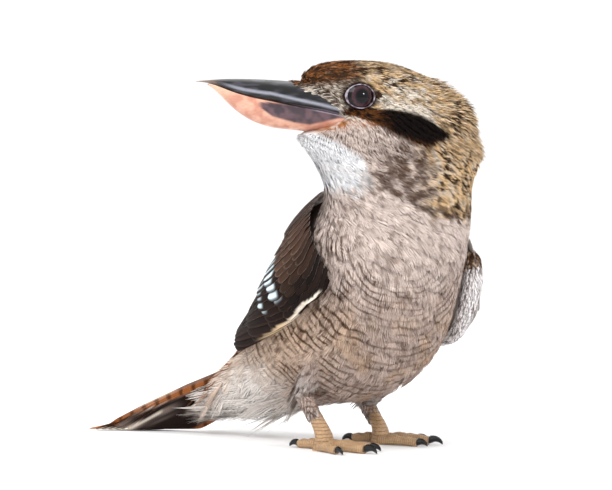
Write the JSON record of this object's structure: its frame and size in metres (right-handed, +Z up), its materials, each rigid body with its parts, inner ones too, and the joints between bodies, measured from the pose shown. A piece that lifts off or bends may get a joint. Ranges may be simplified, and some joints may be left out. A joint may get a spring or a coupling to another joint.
{
  "type": "laughing kookaburra",
  "caption": "Standing laughing kookaburra model at life size, head turned over its right shoulder, folded wings, tail tip on the floor.",
  "frame": {"origin": "middle of the bird's box, on the floor that the feet and the tip of the tail stand on", "axes": "+Z up, -Y the way the body faces, +X the bird's left; the head looks towards -X"},
  "size_m": [0.1738, 0.246, 0.2313],
  "materials": {
    "plumage_breast": "soft matt feathers",
    "plumage_head": "soft matt feathers",
    "plumage_wing": "smooth matt feathers",
    "plumage_tail": "smooth matt feathers",
    "bill_dark": "satin horn",
    "bill_pale": "satin horn",
    "eye": "wet gloss",
    "leg_skin": "scaly satin skin",
    "claw": "satin horn"
  },
  "bodies": {
    "root": {"torso": "plumage_breast", "neck": "plumage_breast", "head": "plumage_head", "eye_left": "eye", "eye_right": "eye", "bill_upper": "bill_dark", "bill_lower": "bill_pale", "wing_left": "plumage_wing", "wing_right": "plumage_wing", "tail": "plumage_tail", "thigh_left": "plumage_breast", "thigh_right": "plumage_breast", "tarsus_left": "leg_skin", "tarsus_right": "leg_skin", "toe_inner_left": "leg_skin", "toe_middle_left": "leg_skin", "toe_outer_left": "leg_skin", "toe_hind_left": "leg_skin", "toe_inner_right": "leg_skin", "toe_middle_right": "leg_skin", "toe_outer_right": "leg_skin", "toe_hind_right": "leg_skin", "claw_inner_left": "claw", "claw_middle_left": "claw", "claw_outer_left": "claw", "claw_hind_left": "claw", "claw_inner_right": "claw", "claw_middle_right": "claw", "claw_outer_right": "claw", "claw_hind_right": "claw"}
  },
  "joints": []
}
